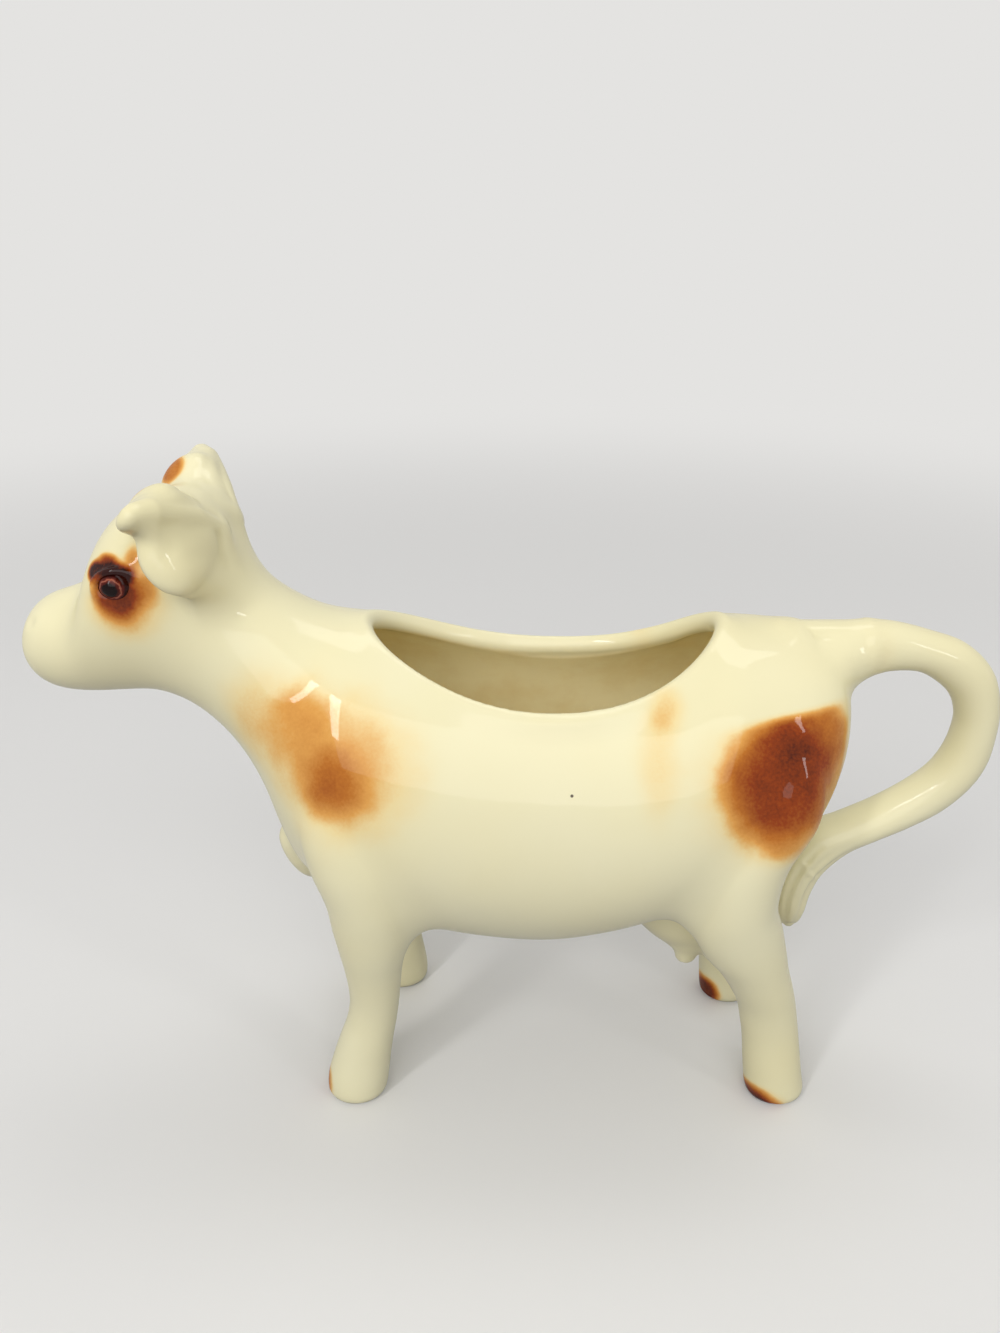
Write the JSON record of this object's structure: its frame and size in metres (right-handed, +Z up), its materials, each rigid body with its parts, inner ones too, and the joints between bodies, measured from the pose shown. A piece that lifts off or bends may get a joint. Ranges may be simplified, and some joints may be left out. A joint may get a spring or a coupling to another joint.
{
  "type": "cow creamer",
  "caption": "Cow-shaped cream jug: hollow glazed body filled through the back, pouring mouth in the muzzle, looped tail as the handle.",
  "frame": {"origin": "on the table under the middle of the cow, half way between the nose and the back of the tail handle", "axes": "+X from the nose to the tail, +Y to the cow's right side, +Z up"},
  "size_m": [0.1868, 0.058, 0.1306],
  "materials": {
    "cream_glaze": "gloss",
    "dark_glaze": "gloss"
  },
  "bodies": {
    "root": {"body_shell": "cream_glaze", "neck": "cream_glaze", "head": "cream_glaze", "front_left_leg": "cream_glaze", "front_right_leg": "cream_glaze", "rear_left_leg": "cream_glaze", "rear_right_leg": "cream_glaze", "left_horn": "cream_glaze", "right_horn": "cream_glaze", "left_ear": "cream_glaze", "right_ear": "cream_glaze", "left_eye": "dark_glaze", "right_eye": "dark_glaze", "tail_handle": "cream_glaze", "tail_tuft": "cream_glaze", "udder": "cream_glaze", "front_left_teat": "cream_glaze", "front_right_teat": "cream_glaze", "rear_left_teat": "cream_glaze", "rear_right_teat": "cream_glaze", "brisket": "cream_glaze"}
  },
  "joints": []
}
